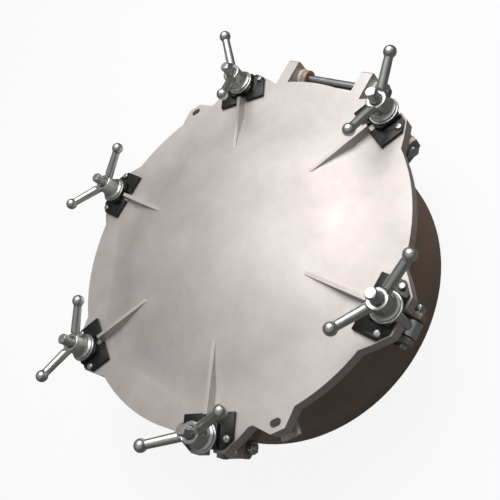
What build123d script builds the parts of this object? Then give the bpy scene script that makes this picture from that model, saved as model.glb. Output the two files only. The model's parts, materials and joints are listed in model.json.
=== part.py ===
from build123d import *
import os
from math import cos, pi, radians, sin, sqrt

# Tank manway cover: a domed lid clamped on a cylindrical neck by six swing bolts.
# The origin is the centre of the neck's lower end, +Z is up the neck and the hinge is at +Y.

# Neck
neck_radius = 260.0
neck_wall = 6.0
neck_height = 159.5
neck_edge = 1.5
weld_root = neck_radius - 10.0

# Lid
rim_top = 173.5
rim_radius = 278.0
rim_plate = 8.0
skirt_depth = 19.0
skirt_wall = 10.0
dome_radius = 222.0
dome_rise = 21.6
dome_wall = 8.0
gasket_width = 16.0

# Clamps
clamp_angles = [120, 60, 0, 300, 240, 180]
bolt_circle = 284.7
ear_radius = 302.0
slot_half = 9.25
rib_start = 157.0
rib_end = 256.0
rib_height = 13.5
rib_top = 5.6

# Swing bolts
stud_radius = 8.0
stud_top = rim_top + 60.0
pivot_height = rim_top - 65.0
eye_radius = 14.0
eye_half = 10.5
lug_gap_half = 13.2
lug_wall = 8.0
lug_reach = 299.0
lug_toe = 4.0
lug_foot = 31.0
pin_radius = 5.0
running_gap = 0.06
pivot_head_flats = 17.0
pivot_head = 6.5
pivot_nut = 8.0
pivot_nut_start = lug_gap_half + lug_wall + 1.5
pivot_bolt_end = 33.0

# Saddles on the ears
seat_height = rim_top + 12.5
wing_height = 5.0
saddle_inner = 252.5
saddle_outer = 299.0
saddle_half = 40.0
block_half = 21.0
block_taper = 3.0
screw_radial = 287.0
screw_tangential = 32.0
screw_radius = 3.0
screw_head_radius = 5.5
screw_head = 3.5
screw_taper = 18.0

# Washers and hand nuts
washer_radius = 21.5
washer_thickness = 3.0
nut_base = seat_height + washer_thickness
nut_height = 26.5
washer_gap = 0.3
thread_gap = 0.08
arm_root_radius = 7.0
arm_tip_radius = 6.2
hub_radius = 14.6
flange_radius = 19.5
flange_edge = 2.5
flare_inset = 1.6
flare_middle = 4.6
flare_top = 9.0
arm_lift = 25.0
arm_length = 67.0
arm_start = 12.6
arm_rise = 18.1
ball_radius = 9.0
arm_angles = [124.1, 91.8, 68.4, 47.7, 98.3, 76.2]

# Padlock lugs and their bracket
lug_angles = [140, 320]
lug_radius = 296.5
lug_slot_radius = 285.3
lug_slot_length = 16.0
lug_slot_width = 10.0
bracket_angle = 320
bracket_top = rim_top - 35.0
bracket_reach = 298.0
bracket_half = 14.5
bracket_plate = 3.0
bracket_side = 14.0
bracket_lip = 2.0

# Hinge
hinge_y = 297.0
hinge_z = rim_top - 25.0
hinge_pin_radius = 6.35
arm_x = 72.0
arm_width = 20.0
arm_eye = 14.5
bush_length = 6.0
hinge_lug_width = 10.0
hinge_lug_eye = 13.0
hinge_web_root = neck_radius - 30.0
hinge_web_low = 62.0
hinge_web_high = 22.0
bush_radius = 13.5
hinge_head = 6.0
hinge_head_radius = 10.0
hinge_washer = 2.5
hinge_washer_radius = 12.0
split_pin_radius = 1.6
split_pin_gap = 0.1
split_eye_radius = 4.0
split_eye_rise = 12.6
split_leg = 11.0
pin_tail = 5.0

os.makedirs("parts", exist_ok=True)


def radial(angle):
    return Vector(cos(radians(angle)), sin(radians(angle)), 0)


def tangent(angle):
    return Vector(-sin(radians(angle)), cos(radians(angle)), 0)


def level_plane(angle, height):
    # Sketch x runs outward from the axis and sketch y runs round the rim
    return Plane(origin=(0, 0, height), x_dir=radial(angle), z_dir=(0, 0, 1))


def upright_plane(angle, offset=0.0):
    # Sketch x runs outward and sketch y is the height; extrusions run against the tangent
    return Plane(origin=tangent(angle) * offset, x_dir=radial(angle), z_dir=tangent(angle) * -1)


def cross_plane(angle, radius):
    # Sketch x runs round the rim and sketch y is the height
    return Plane(origin=radial(angle) * radius, x_dir=tangent(angle), z_dir=radial(angle))


def mirrored(points):
    # Closed outline, counterclockwise, from its +y half taken from the inner end outward
    return [(x, -y) for x, y in points] + points[::-1]


def save(piece, name):
    piece.part.label = name
    export_step(piece.part, f"parts/{name}.step")


# ---------------------------------------------------------------- neck
with BuildPart() as neck:
    with BuildSketch():
        Circle(neck_radius)
        Circle(neck_radius - neck_wall, mode=Mode.SUBTRACT)
    extrude(amount=neck_height)
    fillet(neck.edges().group_by(Axis.Z)[-1], neck_edge)
save(neck, "neck")

# Pairs of pivot lugs, welded to the neck under every clamp
with BuildPart() as pivot_lugs:
    for clamp_angle in clamp_angles:
        for side in (-1, 1):
            middle = side * (lug_gap_half + lug_wall / 2)
            with BuildSketch(upright_plane(clamp_angle, middle)):
                with BuildLine():
                    Polyline(
                        (weld_root, pivot_height + eye_radius),
                        (weld_root, pivot_height - lug_foot),
                        (bolt_circle + lug_toe, pivot_height - eye_radius),
                        (lug_reach, pivot_height - lug_toe),
                        (lug_reach, pivot_height + eye_radius),
                        close=True,
                    )
                make_face()
                with Locations((bolt_circle, pivot_height)):
                    Circle(pin_radius + running_gap, mode=Mode.SUBTRACT)
            extrude(amount=lug_wall / 2, both=True)
    with BuildSketch():
        Circle(neck_radius)
    extrude(amount=neck_height, mode=Mode.SUBTRACT)
save(pivot_lugs, "pivot_lugs")

# ---------------------------------------------------------------- lid
cap_radius = (dome_radius**2 + dome_rise**2) / (2 * dome_rise)
cap_centre = rim_top + dome_rise - cap_radius
skirt_inner = rim_radius - skirt_wall
skirt_bottom = rim_top - skirt_depth
plate_bottom = rim_top - rim_plate
under_cap = cap_radius - dome_wall
under_radius = sqrt(under_cap**2 - (plate_bottom - cap_centre) ** 2)
ear_edge = [(262, 60), (272, 59), (285, 46), (ear_radius, 26)]
lug_edge = [(rim_radius - 12, 33), (rim_radius - 3, 32), (lug_radius, 10.5)]

with BuildPart() as lid:
    # Domed casting with a flat rim and a skirt that hangs outside the neck
    with BuildSketch(Plane.XZ):
        with BuildLine():
            RadiusArc((0, rim_top + dome_rise), (dome_radius, rim_top), cap_radius)
            Polyline(
                (dome_radius, rim_top),
                (rim_radius, rim_top),
                (rim_radius, skirt_bottom),
                (skirt_inner, skirt_bottom),
                (skirt_inner, plate_bottom),
                (under_radius, plate_bottom),
            )
            RadiusArc((under_radius, plate_bottom), (0, rim_top + dome_rise - dome_wall), -under_cap)
            Line((0, rim_top + dome_rise - dome_wall), (0, rim_top + dome_rise))
        make_face()
    revolve(axis=Axis.Z)

    # Clamp ears, each with straight outer edges
    for clamp_angle in clamp_angles:
        with BuildSketch(level_plane(clamp_angle, skirt_bottom)):
            with BuildLine():
                Polyline(*mirrored(ear_edge), close=True)
            make_face()
        extrude(amount=skirt_depth)

    # Pointed lugs for a padlock or seal
    for lug_angle in lug_angles:
        with BuildSketch(level_plane(lug_angle, skirt_bottom)):
            with BuildLine():
                Polyline(*mirrored(lug_edge), close=True)
            make_face()
        extrude(amount=skirt_depth)

    # Hinge arms reach out over the rim and drop round the pin
    for arm_side in (-1, 1):
        with BuildSketch(Plane.YZ.offset(arm_side * arm_x)):
            with BuildLine():
                Polyline(
                    (skirt_inner + 2, skirt_bottom),
                    (skirt_inner - 6, plate_bottom),
                    (skirt_inner - 6, rim_top),
                    (hinge_y + arm_eye - 3, rim_top),
                    (hinge_y + arm_eye, rim_top - 3),
                    (hinge_y + arm_eye, hinge_z),
                )
                eye_arc = ThreePointArc(
                    (hinge_y + arm_eye, hinge_z),
                    (hinge_y + arm_eye * sin(pi / 8), hinge_z - arm_eye * cos(pi / 8)),
                    (hinge_y - arm_eye * sin(pi / 4), hinge_z - arm_eye * cos(pi / 4)),
                )
                Line(eye_arc @ 1, (skirt_inner + 2, skirt_bottom))
            make_face()
        extrude(amount=arm_width / 2, both=True)

    # Channel inside the skirt that clears the gasket and the neck
    with BuildSketch(Plane.XY.offset(hinge_z - 2 * arm_eye)):
        Circle(skirt_inner)
    extrude(amount=plate_bottom - hinge_z + 2 * arm_eye, mode=Mode.SUBTRACT)

    # Ribs that carry each clamp's load up the dome
    for clamp_angle in clamp_angles:
        for rib_radius, top, foot, spread in (
            (rib_start, 11.5, 6.0, 1.1),
            (rib_end, rib_height, -5.0, 1.9),
        ):
            with BuildSketch(cross_plane(clamp_angle, rib_radius)):
                with BuildLine():
                    Polyline(
                        (-spread * rib_top / 2, rim_top + foot),
                        (spread * rib_top / 2, rim_top + foot),
                        (rib_top / 2, rim_top + top),
                        (-rib_top / 2, rim_top + top),
                        close=True,
                    )
                make_face()
        loft()

    # Bolt slots, open outward
    for clamp_angle in clamp_angles:
        with BuildSketch(level_plane(clamp_angle, skirt_bottom)):
            with Locations((bolt_circle, 0)):
                Circle(slot_half)
            with Locations((bolt_circle + 15, 0)):
                Rectangle(30, 2 * slot_half)
        extrude(amount=skirt_depth, mode=Mode.SUBTRACT)

    # Slotted holes in the padlock lugs
    for lug_angle in lug_angles:
        with BuildSketch(level_plane(lug_angle, skirt_bottom)):
            with Locations((lug_slot_radius, 0)):
                SlotOverall(lug_slot_length, lug_slot_width, rotation=90)
        extrude(amount=skirt_depth, mode=Mode.SUBTRACT)

    # Pin holes through the hinge arms
    with BuildSketch(Plane.YZ.offset(-arm_x - arm_width)):
        with Locations((hinge_y, hinge_z)):
            Circle(hinge_pin_radius + running_gap)
    extrude(amount=2 * (arm_x + arm_width), mode=Mode.SUBTRACT)
save(lid, "lid")

# Flat gasket between the lid and the neck's edge
with BuildPart() as gasket:
    with BuildSketch(Plane.XY.offset(neck_height)):
        Circle(neck_radius + gasket_width / 2 - neck_wall / 2)
        Circle(neck_radius - gasket_width / 2 - neck_wall / 2, mode=Mode.SUBTRACT)
    extrude(amount=plate_bottom - neck_height)
save(gasket, "gasket")

# ---------------------------------------------------------------- hinge
left_lug_x = -arm_x + arm_width / 2 + bush_length + hinge_lug_width / 2
right_lug_x = arm_x + arm_width / 2 + bush_length + hinge_lug_width / 2

with BuildPart() as hinge_lugs:
    for lug_x in (left_lug_x, right_lug_x):
        with BuildSketch(Plane.YZ.offset(lug_x)):
            with Locations((hinge_y, hinge_z)):
                Circle(hinge_lug_eye)
            with BuildLine(mode=Mode.PRIVATE) as hinge_web:
                Polyline(
                    (hinge_web_root, hinge_z - hinge_web_low),
                    (hinge_y + 0.8 * hinge_lug_eye, hinge_z - 0.6 * hinge_lug_eye),
                    (hinge_y - 0.5 * hinge_lug_eye, hinge_z + 0.86 * hinge_lug_eye),
                    (hinge_web_root, hinge_z - hinge_web_high),
                    close=True,
                )
            make_face(hinge_web.edges())
            with Locations((hinge_y, hinge_z)):
                Circle(hinge_pin_radius + running_gap, mode=Mode.SUBTRACT)
        extrude(amount=hinge_lug_width / 2, both=True)
    with BuildSketch():
        Circle(neck_radius)
    extrude(amount=neck_height, mode=Mode.SUBTRACT)
save(hinge_lugs, "hinge_lugs")

with BuildPart() as hinge_bushes:
    for bush_x in (-arm_x + arm_width / 2, arm_x + arm_width / 2):
        with BuildSketch(Plane.YZ.offset(bush_x)):
            with Locations((hinge_y, hinge_z)):
                Circle(bush_radius)
                Circle(hinge_pin_radius + running_gap, mode=Mode.SUBTRACT)
        extrude(amount=bush_length)
save(hinge_bushes, "hinge_bushes")

pin_start = -arm_x - arm_width / 2
washer_x = right_lug_x + hinge_lug_width / 2
split_pin_x = washer_x + hinge_washer + split_pin_radius + 0.5
pin_end = split_pin_x + pin_tail

with BuildPart() as hinge_pin:
    with BuildSketch(Plane.YZ.offset(pin_start - hinge_head)):
        with Locations((hinge_y, hinge_z)):
            Circle(hinge_head_radius)
    extrude(amount=hinge_head)
    chamfer(hinge_pin.edges().group_by(Axis.X)[0], 1)
    with BuildSketch(Plane.YZ.offset(pin_start)):
        with Locations((hinge_y, hinge_z)):
            Circle(hinge_pin_radius)
    extrude(amount=pin_end - pin_start)
    chamfer(hinge_pin.edges().group_by(Axis.X)[-1], 1)
    with BuildSketch(Plane.XY.offset(hinge_z - hinge_head_radius)):
        with Locations((split_pin_x, hinge_y)):
            Circle(split_pin_radius + split_pin_gap)
    extrude(amount=2 * hinge_head_radius, mode=Mode.SUBTRACT)
save(hinge_pin, "hinge_pin")

with BuildPart() as hinge_pin_washer:
    with BuildSketch(Plane.YZ.offset(washer_x)):
        with Locations((hinge_y, hinge_z)):
            Circle(hinge_washer_radius)
            Circle(hinge_pin_radius + running_gap, mode=Mode.SUBTRACT)
    extrude(amount=hinge_washer)
save(hinge_pin_washer, "hinge_pin_washer")

# The split pin's legs pass through the pin and its eye stands above
with BuildPart() as hinge_split_pin:
    with BuildSketch(Plane.XY.offset(hinge_z - split_leg)):
        with Locations((split_pin_x, hinge_y)):
            Circle(split_pin_radius)
    extrude(amount=split_leg + split_eye_rise - split_eye_radius)
    eye_centre = Vector(split_pin_x, hinge_y, hinge_z + split_eye_rise)
    with BuildSketch(Plane(origin=eye_centre + Vector(0, split_eye_radius, 0), z_dir=(0, 0, 1))):
        Circle(split_pin_radius)
    revolve(axis=Axis(eye_centre, (1, 0, 0)))
save(hinge_split_pin, "hinge_split_pin")

# ---------------------------------------------------------------- clamps
plan_edge = [(saddle_inner, saddle_half), (screw_radial, saddle_half), (saddle_outer, 26)]
block_edge = [(262, 13), (268, block_half), (saddle_outer, block_half)]
notch_edge = [(saddle_inner - 1, 7.3), (264, 7.3), (267, 3)]
swing_radius = seat_height - pivot_height - 0.3
crown_end = saddle_outer + 2
crown_low = pivot_height + sqrt(swing_radius**2 - (crown_end - bolt_circle) ** 2)

with BuildPart() as saddles:
    for clamp_angle in clamp_angles:
        # Flat wings that follow the ear, bolted down at each side
        with BuildSketch(level_plane(clamp_angle, rim_top)):
            with BuildLine():
                Polyline(*mirrored(plan_edge), close=True)
            make_face()
        extrude(amount=wing_height)
        # Raised block that takes the washer
        with BuildSketch(level_plane(clamp_angle, rim_top)):
            with BuildLine():
                Polyline(*mirrored(block_edge), close=True)
            make_face()
        extrude(amount=seat_height - rim_top, taper=block_taper)
    for clamp_angle in clamp_angles:
        # The seat is crowned outside the bolt, round the pivot, so the washer can swing off it
        with BuildSketch(upright_plane(clamp_angle)):
            with BuildLine():
                crown = RadiusArc((bolt_circle, seat_height), (crown_end, crown_low), swing_radius)
                Polyline(crown @ 1, (crown_end, seat_height + 3), (bolt_circle, seat_height + 3), crown @ 0)
            make_face()
        extrude(amount=saddle_half, both=True, mode=Mode.SUBTRACT)
        # Bolt slot and the notch that clears the rib
        with BuildSketch(level_plane(clamp_angle, rim_top)):
            with Locations((bolt_circle, 0)):
                Circle(slot_half)
            with Locations((bolt_circle + 15, 0)):
                Rectangle(30, 2 * slot_half)
            with BuildLine(mode=Mode.PRIVATE) as notch:
                Polyline(*mirrored(notch_edge), close=True)
            make_face(notch.edges())
        extrude(amount=seat_height - rim_top, mode=Mode.SUBTRACT)
        with BuildSketch(level_plane(clamp_angle, rim_top)):
            with Locations((screw_radial, screw_tangential), (screw_radial, -screw_tangential)):
                Circle(screw_radius)
        extrude(amount=wing_height, mode=Mode.SUBTRACT)
save(saddles, "saddles")

with BuildPart() as saddle_screws:
    for clamp_angle in clamp_angles:
        for side in (-1, 1):
            place = (screw_radial, side * screw_tangential)
            with BuildSketch(level_plane(clamp_angle, rim_top)):
                with Locations(place):
                    Circle(screw_radius)
            extrude(amount=wing_height)
            with BuildSketch(level_plane(clamp_angle, rim_top + wing_height)):
                with Locations(place):
                    Circle(screw_head_radius)
            extrude(amount=screw_head, taper=screw_taper)
save(saddle_screws, "saddle_screws")

with BuildPart() as pivot_bolts:
    for clamp_angle in clamp_angles:
        outer_face = lug_gap_half + lug_wall
        with BuildSketch(upright_plane(clamp_angle, -outer_face)):
            with Locations((bolt_circle, pivot_height)):
                RegularPolygon(pivot_head_flats / 2, 6, major_radius=False)
        extrude(amount=pivot_head)
        with BuildSketch(upright_plane(clamp_angle, -outer_face)):
            with Locations((bolt_circle, pivot_height)):
                Circle(pin_radius)
        extrude(amount=-(outer_face + pivot_bolt_end))
save(pivot_bolts, "pivot_bolts")

with BuildPart() as pivot_nuts:
    for clamp_angle in clamp_angles:
        with BuildSketch(upright_plane(clamp_angle, pivot_nut_start)):
            with Locations((bolt_circle, pivot_height)):
                RegularPolygon(pivot_head_flats / 2, 6, major_radius=False)
                Circle(pin_radius, mode=Mode.SUBTRACT)
        extrude(amount=-pivot_nut)
save(pivot_nuts, "pivot_nuts")

# Padlock bracket: a small shelf on the neck with one upright side
with BuildPart() as padlock_bracket:
    with BuildSketch(level_plane(bracket_angle, bracket_top - bracket_plate)):
        with Locations(((weld_root + bracket_reach) / 2, 0)):
            Rectangle(bracket_reach - weld_root, 2 * bracket_half)
    extrude(amount=bracket_plate)
    with BuildSketch(upright_plane(bracket_angle, bracket_half - bracket_plate)):
        with BuildLine():
            Polyline(
                (weld_root, bracket_top - bracket_plate),
                (bracket_reach, bracket_top - bracket_plate),
                (bracket_reach, bracket_top + bracket_lip),
                (neck_radius + 4, bracket_top + bracket_side),
                (weld_root, bracket_top + bracket_side),
                close=True,
            )
        make_face()
    extrude(amount=-bracket_plate)
    with BuildSketch(level_plane(bracket_angle, bracket_top - bracket_plate)):
        with Locations((lug_slot_radius, 0)):
            SlotOverall(lug_slot_length, lug_slot_width, rotation=90)
    extrude(amount=bracket_plate, mode=Mode.SUBTRACT)
    with BuildSketch():
        Circle(neck_radius)
    extrude(amount=neck_height, mode=Mode.SUBTRACT)
save(padlock_bracket, "padlock_bracket")

# ---------------------------------------------------------------- swing bolts, washers and hand nuts
arm_height = nut_base + arm_rise
neck_point = (arm_length - sqrt(ball_radius**2 - arm_tip_radius**2), arm_tip_radius)
for number, (clamp_angle, arm_angle) in enumerate(zip(clamp_angles, arm_angles), start=1):
    centre = radial(clamp_angle) * bolt_circle

    with BuildPart() as swing_bolt:
        # Eye barrel across the bolt, bored for the pivot
        with BuildSketch(upright_plane(clamp_angle)):
            with Locations((bolt_circle, pivot_height)):
                Circle(eye_radius)
        extrude(amount=eye_half, both=True)
        with BuildSketch(Plane(origin=centre + Vector(0, 0, pivot_height), z_dir=(0, 0, 1))):
            Circle(stud_radius)
        extrude(amount=stud_top - pivot_height)
        chamfer(swing_bolt.edges().group_by(Axis.Z)[-1], 1.5)
        with BuildSketch(upright_plane(clamp_angle)):
            with Locations((bolt_circle, pivot_height)):
                Circle(pin_radius + running_gap)
        extrude(amount=eye_half, both=True, mode=Mode.SUBTRACT)
    save(swing_bolt, f"swing_bolt_{number}")

    with BuildPart() as washer:
        with BuildSketch(Plane(origin=centre + Vector(0, 0, seat_height), z_dir=(0, 0, 1))):
            Circle(washer_radius)
            Circle(stud_radius + washer_gap, mode=Mode.SUBTRACT)
        extrude(amount=washer_thickness)
        chamfer(washer.edges().group_by(Axis.Z)[-1].sort_by(SortBy.RADIUS)[-1], 0.8)
    save(washer, f"washer_{number}")

    with BuildPart() as hand_nut:
        # Hub that flares into a flange
        with BuildSketch(Plane(origin=centre, x_dir=tangent(arm_angle), z_dir=radial(arm_angle))):
            with BuildLine():
                Polyline(
                    (stud_radius + thread_gap, nut_base),
                    (flange_radius, nut_base),
                    (flange_radius, nut_base + flange_edge),
                )
                ThreePointArc(
                    (flange_radius, nut_base + flange_edge),
                    (hub_radius + flare_inset, nut_base + flare_middle),
                    (hub_radius, nut_base + flare_top),
                )
                Polyline(
                    (hub_radius, nut_base + flare_top),
                    (hub_radius, nut_base + nut_height - 1),
                    (hub_radius - 1, nut_base + nut_height),
                    (stud_radius + thread_gap + 1, nut_base + nut_height),
                    (stud_radius + thread_gap, nut_base + nut_height - 1),
                    (stud_radius + thread_gap, nut_base),
                )
            make_face()
        revolve(axis=Axis(centre, (0, 0, 1)))
        # Two tapered arms, each ending in a ball
        for turn in (0, 180):
            heading = radial(arm_angle + turn)
            along = heading * cos(radians(arm_lift)) + Vector(0, 0, sin(radians(arm_lift)))
            root = centre + Vector(0, 0, arm_height)
            with BuildSketch(Plane(origin=root, x_dir=along, z_dir=tangent(arm_angle + turn) * -1)):
                with BuildLine():
                    Polyline((arm_length + ball_radius, 0), (arm_start, 0), (arm_start, arm_root_radius), neck_point)
                    ThreePointArc(neck_point, (arm_length, ball_radius), (arm_length + ball_radius, 0))
                make_face()
            revolve(axis=Axis(root, along))
        # The hub's top face stays flat between the arms
        with BuildSketch(Plane(origin=centre + Vector(0, 0, nut_base + nut_height), z_dir=(0, 0, 1))):
            Circle(hub_radius - 0.4)
        extrude(amount=20, mode=Mode.SUBTRACT)
    save(hand_nut, f"hand_nut_{number}")
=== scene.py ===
import bpy
import json
from math import cos, radians, sin
from mathutils import Matrix, Vector


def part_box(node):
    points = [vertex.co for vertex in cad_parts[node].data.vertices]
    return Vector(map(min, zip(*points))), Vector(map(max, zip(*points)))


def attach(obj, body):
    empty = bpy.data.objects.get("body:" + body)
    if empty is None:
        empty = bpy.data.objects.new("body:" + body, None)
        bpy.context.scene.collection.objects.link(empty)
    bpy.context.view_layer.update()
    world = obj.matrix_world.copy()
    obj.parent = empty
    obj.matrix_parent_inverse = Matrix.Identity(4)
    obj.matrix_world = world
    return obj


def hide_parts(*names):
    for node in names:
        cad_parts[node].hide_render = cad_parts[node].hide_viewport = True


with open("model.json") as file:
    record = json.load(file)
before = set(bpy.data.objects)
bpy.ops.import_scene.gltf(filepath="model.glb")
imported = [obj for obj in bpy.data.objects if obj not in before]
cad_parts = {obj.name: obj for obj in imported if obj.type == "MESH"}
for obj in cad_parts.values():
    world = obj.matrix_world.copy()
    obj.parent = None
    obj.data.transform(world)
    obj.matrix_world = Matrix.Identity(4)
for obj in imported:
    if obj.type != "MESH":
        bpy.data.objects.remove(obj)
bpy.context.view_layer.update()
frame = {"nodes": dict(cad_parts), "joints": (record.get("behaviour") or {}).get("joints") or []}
nodes = frame["nodes"]

up = Vector((0, 0, 1))
rootBody = "neck_and_lid"
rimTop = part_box("saddles")[0].z  # the saddles stand on the lid's flat rim
clampNumbers = range(1, 7)
swings = {j["child"]: j for j in frame["joints"] if j["name"].startswith("bolt_swing")}


def outward(number):  # level unit vector from the lid's centre towards a clamp
    place = Vector(swings[f"clamp_bolt_{number}"]["pos_m"])
    return Vector((place.x, place.y, 0)).normalized()


def around(number):
    return up.cross(outward(number))


def boltFoot(number):  # point on the bolt's line at the rim's height
    place = Vector(swings[f"clamp_bolt_{number}"]["pos_m"])
    return Vector((place.x, place.y, rimTop))


# selection and editing helpers
meshLook = {"merge": 0.00001, "seam": 0.00002, "flat": 0.6}  # merge distances in metres, flatness in degrees

def deselectAll():
    if bpy.context.object and bpy.context.object.mode != "OBJECT":
        bpy.ops.object.mode_set(mode="OBJECT")
    bpy.ops.object.select_all(action="DESELECT")


def activate(piece):
    deselectAll()
    piece.select_set(True)
    bpy.context.view_layer.objects.active = piece


def editMode(piece, selectMode="FACE"):
    activate(piece)
    bpy.ops.object.mode_set(mode="EDIT")
    bpy.ops.mesh.select_mode(type=selectMode)


def objectMode():
    bpy.ops.object.mode_set(mode="OBJECT")


def applyAll(piece):
    activate(piece)
    for modifier in list(piece.modifiers):
        bpy.ops.object.modifier_apply(modifier=modifier.name)


def settle(piece):  # the piece's place goes into its mesh
    activate(piece)
    bpy.ops.object.transform_apply(location=True, rotation=True, scale=True)


def copyNode(nodeName, pieceName):  # a merged copy of a CAD node, to be finished with bevels
    piece = nodes[nodeName].copy()
    piece.data = nodes[nodeName].data.copy()
    piece.name = pieceName
    piece.parent = None
    for key in list(piece.keys()):
        del piece[key]
    piece.data.materials.clear()
    bpy.context.scene.collection.objects.link(piece)
    editMode(piece, "VERT")
    bpy.ops.mesh.select_all(action="SELECT")
    bpy.ops.mesh.remove_doubles(threshold=meshLook["merge"])
    bpy.ops.mesh.dissolve_limited(angle_limit=radians(meshLook["flat"]))
    objectMode()
    return piece


def bevelEdges(piece, width, segments=2, angle=32):
    activate(piece)
    bevel = piece.modifiers.new("edges", "BEVEL")
    bevel.width = width
    bevel.segments = segments
    bevel.limit_method = "ANGLE"
    bevel.angle_limit = radians(angle)
    bevel.miter_outer = "MITER_ARC"
    applyAll(piece)


def smoothShade(piece, angle=35):
    activate(piece)
    bpy.ops.object.shade_smooth_by_angle(angle=radians(angle))


def profileLine(points):  # a line of edges drawn by extruding one vertex from point to point
    deselectAll()
    bpy.ops.mesh.primitive_plane_add(size=0.001)
    bpy.ops.object.mode_set(mode="EDIT")
    bpy.ops.mesh.select_mode(type="VERT")
    bpy.ops.mesh.select_all(action="SELECT")
    bpy.ops.mesh.merge(type="CENTER")
    bpy.ops.transform.translate(value=points[0])
    for start, end in zip(points, points[1:]):
        step = Vector(end) - Vector(start)
        bpy.ops.mesh.extrude_region_move(TRANSFORM_OT_translate={"value": step})
    objectMode()
    return bpy.context.object


def spinProfile(piece, steps, lift=0.0, turns=1):  # turned on Z, or wound up it as a thread
    spin = piece.modifiers.new("spin", "SCREW")
    spin.screw_offset = lift
    spin.iterations = turns
    spin.steps = steps
    spin.render_steps = steps
    spin.use_merge_vertices = True
    spin.merge_threshold = meshLook["merge"]
    applyAll(piece)
    editMode(piece, "VERT")
    bpy.ops.mesh.select_all(action="SELECT")
    bpy.ops.mesh.remove_doubles(threshold=meshLook["seam"])
    bpy.ops.mesh.normals_make_consistent(inside=False)
    objectMode()


def cutAt(piece, height, keepBelow):  # level cut with a flat cap
    editMode(piece, "VERT")
    bpy.ops.mesh.select_all(action="SELECT")
    bpy.ops.mesh.bisect(
        plane_co=(0, 0, height), plane_no=(0, 0, 1), use_fill=True,
        clear_outer=keepBelow, clear_inner=not keepBelow,
    )
    objectMode()


def placedCopy(piece, name, place, turn=0.0):  # a copy with its own mesh, set down at place
    twin = piece.copy()
    twin.data = piece.data.copy()
    twin.name = name
    bpy.context.scene.collection.objects.link(twin)
    twin.location = place
    twin.rotation_euler = (0, 0, turn)
    settle(twin)
    return twin


def joined(pieces, name):
    deselectAll()
    for piece in pieces:
        piece.select_set(True)
    bpy.context.view_layer.objects.active = pieces[0]
    bpy.ops.object.join()
    pieces[0].name = name
    return pieces[0]


def finishPiece(piece, body, material, standsFor=()):
    piece.data.materials.clear()
    piece.data.materials.append(material)
    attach(piece, body)
    if standsFor:
        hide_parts(*standsFor)
    return piece


# material helpers

def linearColour(hexText):
    channels = [int(hexText[i:i + 2], 16) / 255 for i in (1, 3, 5)]
    return tuple(c / 12.92 if c <= 0.04045 else ((c + 0.055) / 1.055) ** 2.4 for c in channels) + (1,)


def addNode(tree, kind, settings=None, links=None):
    node = tree.nodes.new(kind)
    for key, value in (settings or {}).items():
        if isinstance(key, str) and hasattr(node, key):
            setattr(node, key, value)
        else:
            node.inputs[key].default_value = value
    for socket, source in (links or {}).items():
        tree.links.new(source, node.inputs[socket])
    return node


def newMaterial(name):
    material = bpy.data.materials.new(name)
    material.use_nodes = True
    tree = material.node_tree
    tree.nodes.clear()
    return material, tree


def finishMaterial(tree, shader):
    output = tree.nodes.new("ShaderNodeOutputMaterial")
    tree.links.new(shader.outputs[0], output.inputs["Surface"])


grainLook = {
    "patchDetail": 8.0, "patchRoughness": 0.66, "gritDetail": 2.0, "darkStop": 0.32, "lightStop": 0.68,
}


def surfaceMaterial(name, look):
    # Colour drifts between two tones in soft patches, with grit in the roughness and in the relief
    material, tree = newMaterial(name)
    place = addNode(tree, "ShaderNodeTexCoord").outputs["Object"]
    patches = addNode(
        tree, "ShaderNodeTexNoise",
        {
            "Scale": 1 / look["patch"], "Detail": grainLook["patchDetail"],
            "Roughness": grainLook["patchRoughness"],
        },
        {"Vector": place},
    )
    grit = addNode(
        tree, "ShaderNodeTexNoise", {"Scale": 1 / look["grit"], "Detail": grainLook["gritDetail"]},
        {"Vector": place},
    )
    tones = addNode(tree, "ShaderNodeValToRGB", {}, {"Fac": patches.outputs["Fac"]})
    tones.color_ramp.elements[0].position = grainLook["darkStop"]
    tones.color_ramp.elements[0].color = linearColour(look["dark"])
    tones.color_ramp.elements[1].position = grainLook["lightStop"]
    tones.color_ramp.elements[1].color = linearColour(look["light"])
    low, high = look["roughness"]
    height = grit.outputs["Fac"]
    rough = addNode(tree, "ShaderNodeMapRange", {"To Min": low, "To Max": high}, {"Value": height})
    relief = addNode(
        tree, "ShaderNodeBump", {"Strength": look["strength"], "Distance": look["depth"]}, {"Height": height}
    )
    shader = addNode(
        tree,
        "ShaderNodeBsdfPrincipled",
        {"Metallic": look["metallic"]},
        {
            "Base Color": tones.outputs["Color"], "Roughness": rough.outputs["Result"],
            "Normal": relief.outputs["Normal"],
        },
    )
    finishMaterial(tree, shader)
    return material


# blasted casting: a fine even grit, a broad soft sheen, faint warm drifts
castLook = {
    "light": "#d6d0ce", "dark": "#c4bebb", "patch": 0.07, "grit": 0.0012,
    "roughness": (0.52, 0.62), "metallic": 0.66, "strength": 0.2, "depth": 0.0003,
}
# stainless sheet, rolled and dull: painted shade, darker and browner than the lid as the neck looks in its
# own shade written paler than that shade, as its upright sides get little light
neckLook = {
    "light": "#bda592", "dark": "#a38d7c", "patch": 0.1, "grit": 0.0016,
    "roughness": (0.42, 0.58), "metallic": 0.25, "strength": 0.1, "depth": 0.0003,
}
# laser-cut stainless tab, satin: painted light, paler than the neck as its lit top looks
tabLook = {
    "light": "#cdc2bb", "dark": "#b9aea7", "patch": 0.02, "grit": 0.0009,
    "roughness": (0.4, 0.55), "metallic": 0.3, "strength": 0.1, "depth": 0.0002,
}
# folded stainless strip: painted light, nearly white all over as it looks where light falls on it
stripLook = {
    "light": "#e9e5e1", "dark": "#d8d3cf", "patch": 0.02, "grit": 0.0009,
    "roughness": (0.34, 0.48), "metallic": 0.25, "strength": 0.08, "depth": 0.0002,
}
# glass-filled nylon: black, with a moulded satin skin
blackLook = {
    "light": "#0e0e0f", "dark": "#080809", "patch": 0.02, "grit": 0.0008,
    "roughness": (0.34, 0.5), "metallic": 0.0, "strength": 0.1, "depth": 0.0002,
}
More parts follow.
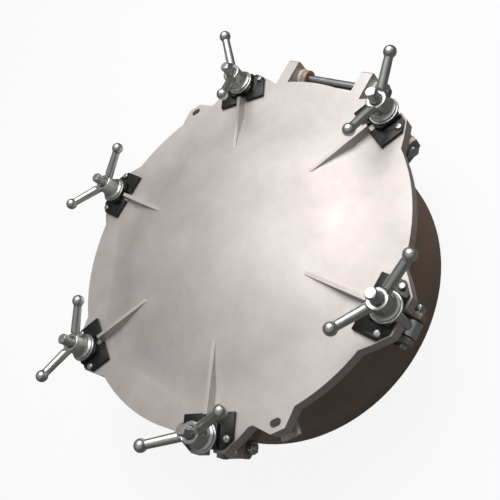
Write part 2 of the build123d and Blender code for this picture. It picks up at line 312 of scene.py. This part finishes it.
# investment cast stainless, tumbled bright: soft rolling reflections and small dents
brightLook = {
    "light": "#c9cbc8", "dark": "#b7bab7", "patch": 0.012, "grit": 0.003,
    "roughness": (0.27, 0.38), "metallic": 1.0, "strength": 0.08, "depth": 0.0005,
}
# turned and plated steel: small fasteners, brighter on their edges
zincLook = {
    "light": "#c9cccc", "dark": "#adb1b2", "patch": 0.006, "grit": 0.0007,
    "roughness": (0.26, 0.4), "metallic": 1.0, "strength": 0.1, "depth": 0.0002,
}
# drawn bar: grey, a little dull from handling
barLook = {
    "light": "#a4a8a9", "dark": "#8a8e90", "patch": 0.01, "grit": 0.0008,
    "roughness": (0.3, 0.46), "metallic": 1.0, "strength": 0.1, "depth": 0.0002,
}
# turned acetal: white, waxy, with a soft gloss
acetalLook = {
    "light": "#f1efec", "dark": "#e9e6e2", "patch": 0.01, "grit": 0.0009,
    "roughness": (0.3, 0.42), "metallic": 0.0, "strength": 0.06, "depth": 0.0002,
}
# moulded white nitrile: matt, food grade
rubberLook = {
    "light": "#e6e3dc", "dark": "#d9d5cd", "patch": 0.03, "grit": 0.0012,
    "roughness": (0.6, 0.75), "metallic": 0.0, "strength": 0.12, "depth": 0.0003,
}
castMetal = surfaceMaterial("blasted cast alloy", castLook)
# the neck's colour is painted shade, also on the hinge lugs and weld beads
neckMetal = surfaceMaterial("pickled stainless sheet", neckLook)
# the tab's colour is painted light
tabMetal = surfaceMaterial("satin stainless tab", tabLook)
# the strip's colour is painted light
stripMetal = surfaceMaterial("bright stainless strip", stripLook)
blackNylon = surfaceMaterial("black glass-filled nylon", blackLook)
brightCasting = surfaceMaterial("tumbled stainless casting", brightLook)
platedSteel = surfaceMaterial("bright plated steel", zincLook)
drawnBar = surfaceMaterial("drawn steel bar", barLook)
whiteAcetal = surfaceMaterial("white acetal", acetalLook)
whiteRubber = surfaceMaterial("white nitrile rubber", rubberLook)
print("materials made")

nodeFinish = {
    "neck": neckMetal, "pivot_lugs": tabMetal, "hinge_lugs": neckMetal, "padlock_bracket": stripMetal,
    "lid": castMetal, "gasket": whiteRubber, "hinge_bushes": whiteAcetal, "hinge_pin": drawnBar,
    "hinge_pin_washer": platedSteel, "hinge_split_pin": platedSteel, "saddles": blackNylon,
    "saddle_screws": platedSteel, "pivot_bolts": platedSteel, "pivot_nuts": platedSteel,
}
for number in clampNumbers:
    nodeFinish[f"swing_bolt_{number}"] = platedSteel
    nodeFinish[f"washer_{number}"] = platedSteel
    nodeFinish[f"hand_nut_{number}"] = brightCasting
for nodeName, material in nodeFinish.items():
    nodes[nodeName].data.materials.clear()
    nodes[nodeName].data.materials.append(material)

# lid casting with its edges rounded
lidLook = {"edge": 0.0011, "segments": 3, "crease": 9}  # the dome meets the flat rim at a slight crease
lidPiece = copyNode("lid", "lidCasting")
bevelEdges(lidPiece, lidLook["edge"], lidLook["segments"])
smoothShade(lidPiece, lidLook["crease"])
finishPiece(lidPiece, rootBody, castMetal, ("lid",))
print("lid done")

# saddles and small parts with their edges broken
for nodeName, pieceName, edge, segments, slotName, material in (
    ("saddles", "saddlePlates", 0.0009, 2, "black_saddle", blackNylon),
    ("saddle_screws", "saddleScrews", 0.0012, 4, "zinc_steel", platedSteel),
    ("pivot_lugs", "pivotLugPlates", 0.0006, 2, "neck_steel", tabMetal),
    ("pivot_bolts", "pivotBolts", 0.0007, 2, "zinc_steel", platedSteel),
    ("pivot_nuts", "pivotNuts", 0.0007, 2, "zinc_steel", platedSteel),
    ("hinge_lugs", "hingeLugPlates", 0.0007, 2, "neck_steel", neckMetal),
    ("hinge_bushes", "hingeBushes", 0.0005, 2, "white_plastic", whiteAcetal),
    ("padlock_bracket", "sealBracket", 0.0004, 2, "bracket_steel", stripMetal),
    ("neck", "neckCollar", 0.0006, 2, "neck_steel", neckMetal),
):
    piece = copyNode(nodeName, pieceName)
    bevelEdges(piece, edge, segments)
    smoothShade(piece)
    finishPiece(piece, rootBody, material, (nodeName,))
print("root pieces done")

# weld beads where the lugs meet the neck
weldLook = {
    "radius": 0.0021, "ripple": 0.0003, "length": 0.042, "beats": 16, "steps": 10, "sink": 0.0006,
}


def weldBead():
    half = weldLook["length"] / 2
    points = [(0, 0, -half)]
    for beat in range(weldLook["beats"]):
        foot = -half + weldLook["length"] * beat / weldLook["beats"]
        crest = foot + weldLook["length"] / weldLook["beats"] / 2
        points.append((weldLook["radius"] - weldLook["ripple"], 0, foot))
        points.append((weldLook["radius"], 0, crest))
    points += [(weldLook["radius"] - weldLook["ripple"], 0, half), (0, 0, half)]
    bead = profileLine(points)
    spinProfile(bead, weldLook["steps"])
    activate(bead)
    bpy.ops.object.shade_smooth()
    return bead


bead = weldBead()
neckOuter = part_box("neck")[1].x
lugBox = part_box("pivot_lugs")
lugMiddle = (lugBox[0].z + lugBox[1].z) / 2
lugFaces = (-0.0212, -0.0132, 0.0132, 0.0212)  # both faces of both plates, across the bolt
beads = []
for number in clampNumbers:
    for face in lugFaces:
        spot = outward(number) * (neckOuter - weldLook["sink"]) + around(number) * face
        beads.append(placedCopy(bead, "bead", spot + up * lugMiddle))
welds = joined(beads, "pivotLugWelds")
finishPiece(welds, rootBody, neckMetal)

hingeWebs = {"faces": (-0.056, -0.046, 0.088, 0.098), "middle": 0.122, "scale": 0.8}
beads = []
for x in hingeWebs["faces"]:
    y = (neckOuter**2 - x**2) ** 0.5 - weldLook["sink"]
    twin = placedCopy(bead, "bead", (0, 0, 0))
    twin.scale = (1, 1, hingeWebs["scale"])
    twin.location = (x, y, hingeWebs["middle"])
    settle(twin)
    beads.append(twin)
welds = joined(beads, "hingeLugWelds")
finishPiece(welds, rootBody, neckMetal)
bpy.data.objects.remove(bead)
print("welds done")

# swing bolts: a forged eye, a plain shank and a threaded end above the hand nut
boltLook = {
    "crest": 0.00795, "root": 0.00685, "pitch": 0.002, "steps": 40, "plain": 0.036,
    "crestStart": 0.42, "crestEnd": 0.58, "trim": 0.0001, "overlap": 0.001,
    "tipLength": 0.0012, "tipTaper": 0.87,
    "eyeEdge": 0.003, "eyeSegments": 4, "eyeAngle": 50, "shade": 40,
}
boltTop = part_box("swing_bolt_1")[1].z


def threadRod():
    pitch = boltLook["pitch"]
    start = rimTop + boltLook["plain"] - 2 * pitch
    turns = int((boltTop - start) / pitch) + 3
    rod = profileLine([
        (boltLook["root"], 0, start), (boltLook["crest"], 0, start + pitch * boltLook["crestStart"]),
        (boltLook["crest"], 0, start + pitch * boltLook["crestEnd"]), (boltLook["root"], 0, start + pitch),
    ])
    spinProfile(rod, boltLook["steps"], pitch, turns)
    cutAt(rod, boltTop - boltLook["trim"], True)
    cutAt(rod, rimTop + boltLook["plain"], False)
    editMode(rod, "VERT")
    bpy.ops.mesh.select_all(action="DESELECT")
    objectMode()
    for vertex in rod.data.vertices:
        vertex.select = vertex.co.z > boltTop - boltLook["tipLength"]
    editMode(rod, "VERT")
    bpy.ops.transform.resize(value=(boltLook["tipTaper"], boltLook["tipTaper"], 1), center_override=(0, 0, 0))
    bpy.ops.mesh.select_all(action="SELECT")
    bpy.ops.mesh.normals_make_consistent(inside=False)
    objectMode()
    return rod


rod = threadRod()
for number in clampNumbers:
    shank = copyNode(f"swing_bolt_{number}", f"swingBolt{number}")
    cutAt(shank, rimTop + boltLook["plain"] + boltLook["overlap"], True)
    bevelEdges(shank, boltLook["eyeEdge"], boltLook["eyeSegments"], boltLook["eyeAngle"])
    foot = boltFoot(number)
    thread = placedCopy(rod, "thread", (foot.x, foot.y, 0))
    piece = joined([shank, thread], f"swingBolt{number}")
    smoothShade(piece, boltLook["shade"])
    finishPiece(piece, f"clamp_bolt_{number}", platedSteel, (f"swing_bolt_{number}",))
bpy.data.objects.remove(rod)
print("swing bolts done")

# washers with their stamped edges rolled over
washerLook = {"edge": 0.0006, "segments": 3}
for number in clampNumbers:
    piece = copyNode(f"washer_{number}", f"nutWasher{number}")
    bevelEdges(piece, washerLook["edge"], washerLook["segments"])
    smoothShade(piece)
    finishPiece(piece, f"clamp_washer_{number}", platedSteel, (f"washer_{number}",))
print("washers done")

# hand nuts: the casting's corners melt into each other
nutLook = {"voxel": 0.0007, "melt": 3, "strength": 0.5}
for number in clampNumbers:
    piece = copyNode(f"hand_nut_{number}", f"handNut{number}")
    remesh = piece.modifiers.new("skin", "REMESH")
    remesh.mode = "VOXEL"
    remesh.voxel_size = nutLook["voxel"]
    remesh.adaptivity = 0.0
    melt = piece.modifiers.new("melt", "SMOOTH")
    melt.factor = nutLook["strength"]
    melt.iterations = nutLook["melt"]
    applyAll(piece)
    activate(piece)
    bpy.ops.object.shade_smooth()
    finishPiece(piece, f"clamp_nut_{number}", brightCasting, (f"hand_nut_{number}",))
print("hand nuts done")

# floor, light and camera

def seenDirectly(tree, path):  # 1 where the camera looks, straight or through something clear
    return addNode(
        tree, "ShaderNodeMath", {"operation": "MAXIMUM"},
        {0: path.outputs["Is Camera Ray"], 1: path.outputs["Is Transmission Ray"]},
    )


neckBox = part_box("neck")
floorLook = {"size": 6.0, "colour": "#f4f4f4", "carpet": "#4c443d", "seen": 0.9, "mirrored": 0.12}


def floorMaterial():
    # pale matt board to the camera, dark carpet to light that bounces: the object's sides stay dark
    material, tree = newMaterial("pale floor board")
    path = addNode(tree, "ShaderNodeLightPath")
    board = addNode(tree, "ShaderNodeBsdfDiffuse", {"Color": linearColour(floorLook["colour"])})
    carpet = addNode(tree, "ShaderNodeBsdfDiffuse", {"Color": linearColour(floorLook["carpet"])})
    glow = addNode(tree, "ShaderNodeEmission", {"Color": (1, 1, 1, 1), "Strength": 1.0})
    seen = seenDirectly(tree, path)
    matt = addNode(
        tree, "ShaderNodeMixShader", {}, {0: seen.outputs[0], 1: carpet.outputs[0], 2: board.outputs[0]}
    )
    mirrored = addNode(
        tree, "ShaderNodeMath", {"operation": "MULTIPLY", 1: floorLook["mirrored"]},
        {0: path.outputs["Is Glossy Ray"]},
    )
    share = addNode(
        tree, "ShaderNodeMath", {"operation": "MULTIPLY_ADD", 1: floorLook["seen"]},
        {0: seen.outputs[0], 2: mirrored.outputs[0]},
    )
    mix = addNode(
        tree, "ShaderNodeMixShader", {}, {0: share.outputs[0], 1: matt.outputs[0], 2: glow.outputs[0]}
    )
    finishMaterial(tree, mix)
    return material


deselectAll()
bpy.ops.mesh.primitive_plane_add(size=floorLook["size"], location=(0, 0, neckBox[0].z))
floor = bpy.context.object
floor.name = "floor"
settle(floor)
floor.data.materials.append(floorMaterial())

world = bpy.data.worlds.new("studio")
bpy.context.scene.world = world
world.use_nodes = True
worldTree = world.node_tree
worldTree.nodes.clear()
roomLook = {
    "light": 0.1, "lightColour": "#e8eaee", "overhead": 0.6, "low": 0.05, "shineColour": "#f4f4f2",
}
roomPath = addNode(worldTree, "ShaderNodeLightPath")
roomSeen = seenDirectly(worldTree, roomPath)
toSky = addNode(worldTree, "ShaderNodeTexCoord").outputs["Generated"]
skyHeight = addNode(worldTree, "ShaderNodeSeparateXYZ", {}, {"Vector": toSky}).outputs["Z"]
skyShade = addNode(
    worldTree, "ShaderNodeMapRange", {"To Min": roomLook["low"], "To Max": roomLook["overhead"]},
    {"Value": skyHeight},
)
roomLight = addNode(
    worldTree, "ShaderNodeBackground",
    {"Color": linearColour(roomLook["lightColour"]), "Strength": roomLook["light"]},
)
roomShine = addNode(
    worldTree, "ShaderNodeBackground", {"Color": linearColour(roomLook["shineColour"])},
    {"Strength": skyShade.outputs["Result"]},
)
roomWhite = addNode(worldTree, "ShaderNodeBackground", {"Color": (1, 1, 1, 1), "Strength": 1.0})
roomGlossy = addNode(
    worldTree, "ShaderNodeMixShader", {},
    {0: roomPath.outputs["Is Glossy Ray"], 1: roomLight.outputs[0], 2: roomShine.outputs[0]},
)
roomMix = addNode(
    worldTree, "ShaderNodeMixShader", {},
    {0: roomSeen.outputs[0], 1: roomGlossy.outputs[0], 2: roomWhite.outputs[0]},
)
worldOut = worldTree.nodes.new("ShaderNodeOutputWorld")
worldTree.links.new(roomMix.outputs[0], worldOut.inputs["Surface"])

lamps = {
    "overhead": {
        "azimuth": 104, "elevation": 61, "distance": 1.9, "size": 1.8, "power": 35, "colour": "#fffdfb",
    },
    "side": {
        "azimuth": 62, "elevation": 30, "distance": 2.1, "size": 1.4, "power": 2, "colour": "#fffdfb",
    },
}
aim = Vector((0, 0, rimTop))
for lampName, lamp in lamps.items():
    a, e = radians(lamp["azimuth"]), radians(lamp["elevation"])
    toLamp = Vector((cos(a) * cos(e), sin(a) * cos(e), sin(e)))
    deselectAll()
    bpy.ops.object.light_add(type="AREA", location=aim + toLamp * lamp["distance"])
    light = bpy.context.object
    light.name = lampName + "Lamp"
    light.rotation_euler = toLamp.to_track_quat("Z", "Y").to_euler()
    light.data.shape = "DISK"
    light.data.size = lamp["size"]
    light.data.energy = lamp["power"]
    light.data.color = linearColour(lamp["colour"])[:3]

# the camera looks down on the front right of the lid, rolled so that the hinge leans left
cameraLook = {
    "place": (0.66207, -0.11668, 0.70393), "lens": 47.663, "sensor": 36, "near": 0.01,
    "right": (0.69392484, 0.49033442, -0.52729543), "down": (0.30052205, -0.86269932, -0.4067387),
}
deselectAll()
bpy.ops.object.camera_add()
camera = bpy.context.object
camera.name = "camera"
right = Vector(cameraLook["right"]).normalized()
over = -Vector(cameraLook["down"]).normalized()
back = right.cross(over)
turn = Matrix((right, over, back)).transposed().to_4x4()
camera.matrix_world = Matrix.Translation(Vector(cameraLook["place"]) + up * rimTop) @ turn
camera.data.lens = cameraLook["lens"]
camera.data.sensor_width = cameraLook["sensor"]
camera.data.clip_start = cameraLook["near"]
bpy.context.scene.camera = camera
bpy.context.scene.view_settings.view_transform = "Standard"
print("stage done")
